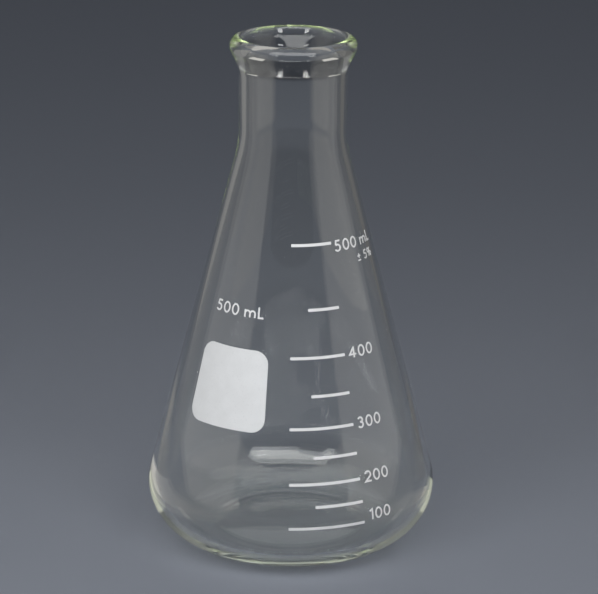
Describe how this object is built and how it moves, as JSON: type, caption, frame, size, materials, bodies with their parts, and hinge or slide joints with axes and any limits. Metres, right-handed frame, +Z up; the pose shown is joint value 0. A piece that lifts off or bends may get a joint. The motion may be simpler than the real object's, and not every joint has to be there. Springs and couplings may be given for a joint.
{
  "type": "erlenmeyer flask",
  "caption": "Conical laboratory flask with a narrow neck, a flared lip, a rounded heel and a printed volume scale with a marking spot.",
  "frame": {"origin": "centre of the base, on the bench face that the flask stands on", "axes": "+Z up along the flask's axis, -Y is the side that carries the scale, +X to the right when that side faces the viewer"},
  "size_m": [0.1006, 0.1006, 0.178],
  "materials": {
    "glass": "clear borosilicate glass, fire-polished, faintly yellow-green where it is thick",
    "enamel": "white ceramic enamel fired onto the glass, satin"
  },
  "bodies": {
    "root": {"flask_body": "glass", "marking_spot": "enamel", "capacity_label": "enamel", "tolerance_label": "enamel", "graduation_line_100": "enamel", "graduation_line_150": "enamel", "graduation_line_200": "enamel", "graduation_line_250": "enamel", "graduation_line_300": "enamel", "graduation_line_350": "enamel", "graduation_line_400": "enamel", "graduation_line_450": "enamel", "graduation_line_500": "enamel", "graduation_number_100": "enamel", "graduation_number_200": "enamel", "graduation_number_300": "enamel", "graduation_number_400": "enamel", "graduation_number_500": "enamel"}
  },
  "joints": []
}
